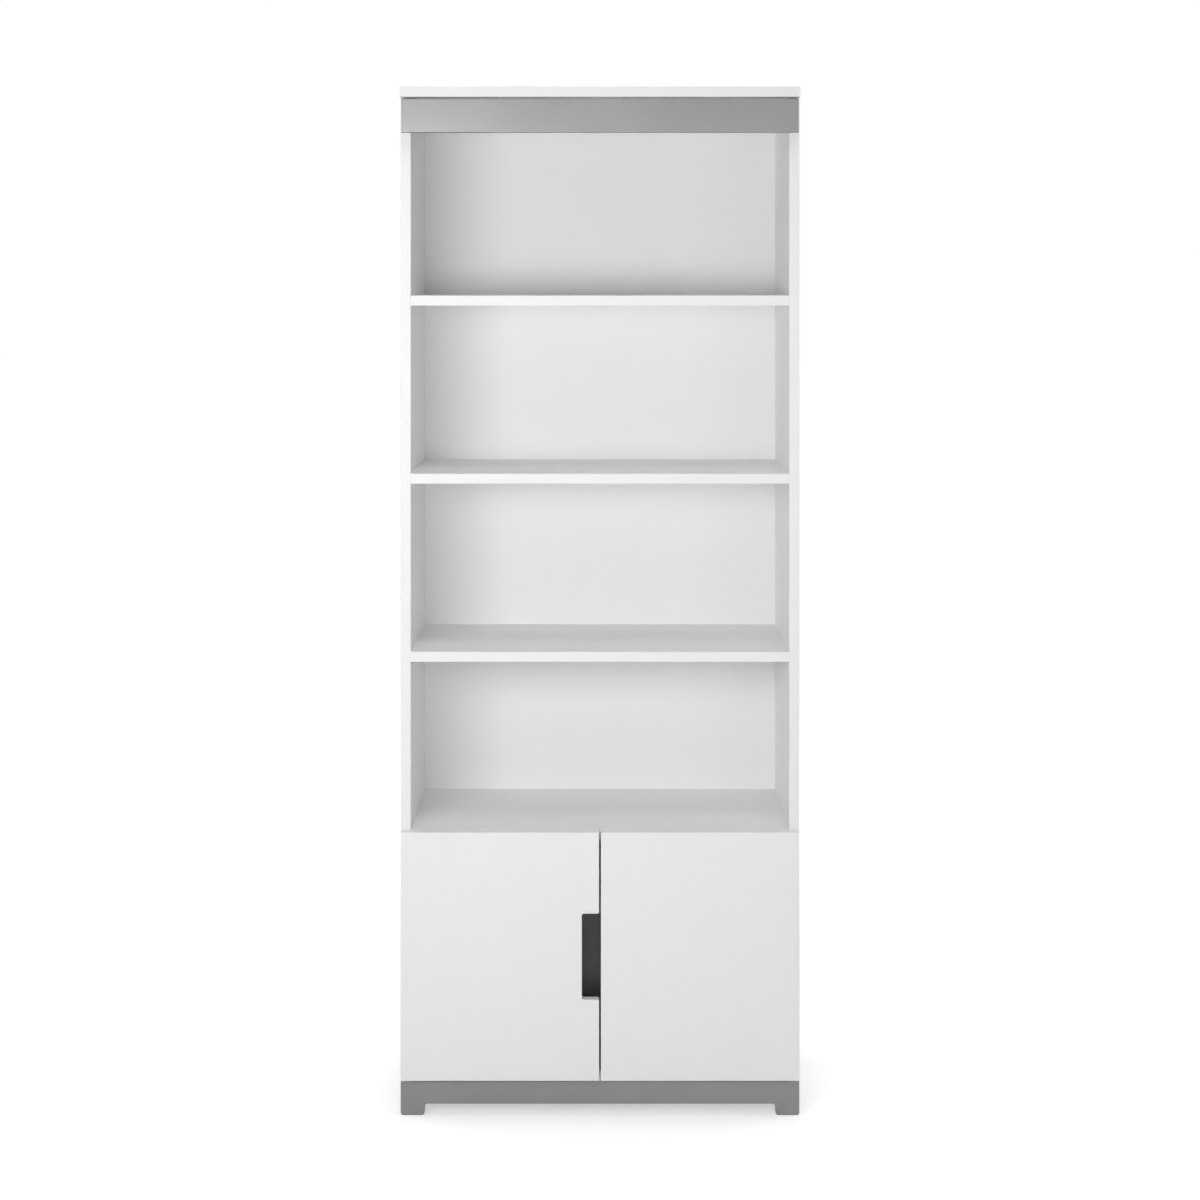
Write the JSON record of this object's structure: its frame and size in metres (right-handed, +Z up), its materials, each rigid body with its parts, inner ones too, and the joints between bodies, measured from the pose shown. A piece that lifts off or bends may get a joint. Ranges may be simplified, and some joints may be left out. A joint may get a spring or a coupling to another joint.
{
  "type": "bookcase with cabinet doors",
  "caption": "Tall white bookcase: open shelves over a cupboard with hinged doors and a finger notch where they meet, a grey fascia under the top and a grey base with feet.",
  "frame": {"origin": "middle of the footprint, on the floor", "axes": "+Z up, -Y out of the doors, +X to the right seen from the front"},
  "size_m": [0.7, 0.35, 1.8035],
  "materials": {
    "white_board": "satin white laminate on board",
    "white_sheet": "satin white lacquer on thin board",
    "grey_fascia": "satin grey laminate on board",
    "grey_base": "matte grey lacquer on board",
    "plain_wood": "bare softwood",
    "dowel_wood": "bare beech",
    "white_plastic": "matte",
    "clear_rubber": "soft translucent",
    "steel": "nickel plated"
  },
  "bodies": {
    "carcase": {"side_panel_left": "white_board", "side_panel_right": "white_board", "top_panel": "white_board", "bottom_panel": "white_board", "middle_panel": "white_board", "shelf_lower": "white_board", "shelf_middle": "white_board", "shelf_upper": "white_board", "back_panel_lower": "white_sheet", "back_panel_upper": "white_sheet", "back_panel_nails": "steel", "fascia": "grey_fascia", "fascia_brackets": "steel", "fascia_screws": "steel", "base_front_rail": "grey_base", "base_back_rail": "grey_base", "base_side_rail_left": "grey_base", "base_side_rail_right": "grey_base", "base_corner_blocks": "plain_wood", "base_frame_screws": "steel", "base_fixing_screws": "steel", "dowels": "dowel_wood", "cam_bolts": "steel", "cam_discs": "steel", "cam_caps": "white_plastic", "wall_bracket": "steel", "wall_bracket_screws": "steel", "hinge_plate_screws": "steel", "hinge_arm_screws": "steel", "hinge_arm_left_lower": "steel", "hinge_arm_left_upper": "steel", "hinge_arm_right_lower": "steel", "hinge_arm_right_upper": "steel", "hinge_plate_left_lower": "steel", "hinge_plate_left_upper": "steel", "hinge_plate_right_lower": "steel", "hinge_plate_right_upper": "steel"},
    "left_door": {"door_left": "white_board", "door_bumpers_left": "clear_rubber", "hinge_cup_screws_left": "steel", "hinge_cup_left_lower": "steel", "hinge_cup_left_upper": "steel", "hinge_pin_left_lower": "steel", "hinge_pin_left_upper": "steel"},
    "right_door": {"door_right": "white_board", "door_bumpers_right": "clear_rubber", "hinge_cup_screws_right": "steel", "hinge_cup_right_lower": "steel", "hinge_cup_right_upper": "steel", "hinge_pin_right_lower": "steel", "hinge_pin_right_upper": "steel"}
  },
  "joints": [
    {"name": "door_left_hinge", "type": "hinge", "parent": "carcase", "child": "left_door", "pos_m": [-0.3423, -0.1676, 0.284], "axis": [0, 0, -1], "range_deg": [0, 95]},
    {"name": "door_right_hinge", "type": "hinge", "parent": "carcase", "child": "right_door", "pos_m": [0.3423, -0.1676, 0.284], "axis": [0, 0, 1], "range_deg": [0, 95]}
  ]
}
